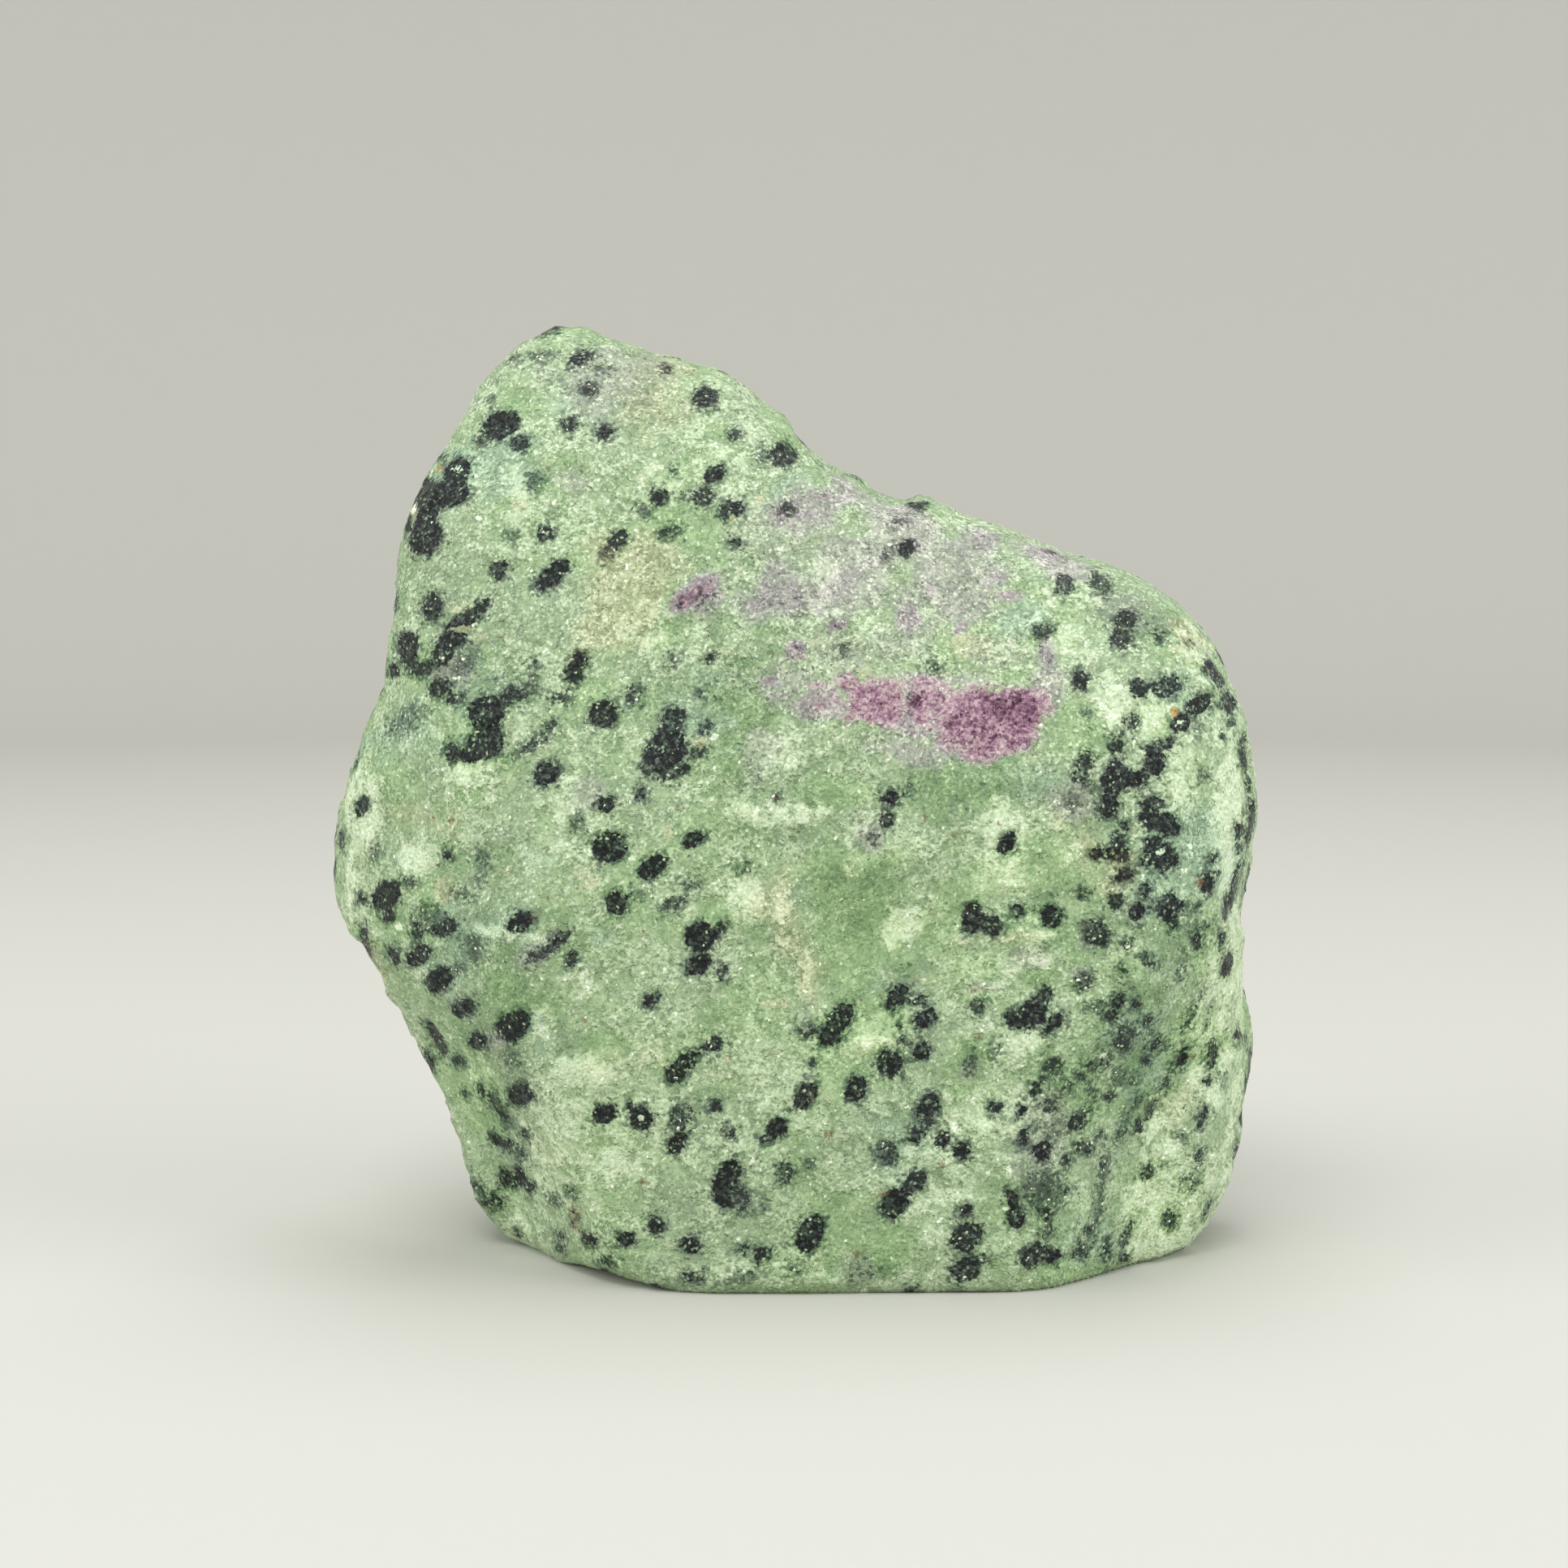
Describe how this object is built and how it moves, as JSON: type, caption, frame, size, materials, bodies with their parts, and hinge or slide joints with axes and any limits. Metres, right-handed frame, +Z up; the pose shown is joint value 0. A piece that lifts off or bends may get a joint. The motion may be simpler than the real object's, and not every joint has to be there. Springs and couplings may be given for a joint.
{
  "type": "ruby zoisite specimen",
  "caption": "Free-standing rough stone of green zoisite with a ruby patch and black hornblende grains, tall at one side, on a flat sawn base.",
  "frame": {"origin": "middle of the bounding box, on the surface that the stone stands on", "axes": "+Z up out of the sawn base, -Y out of the broad front face with the ruby patch, +X towards the low shoulder"},
  "size_m": [0.08, 0.0464, 0.0797],
  "materials": {
    "ruby_zoisite": "rough, granular and faintly sparkling"
  },
  "bodies": {
    "root": {"stone": "ruby_zoisite"}
  },
  "joints": []
}
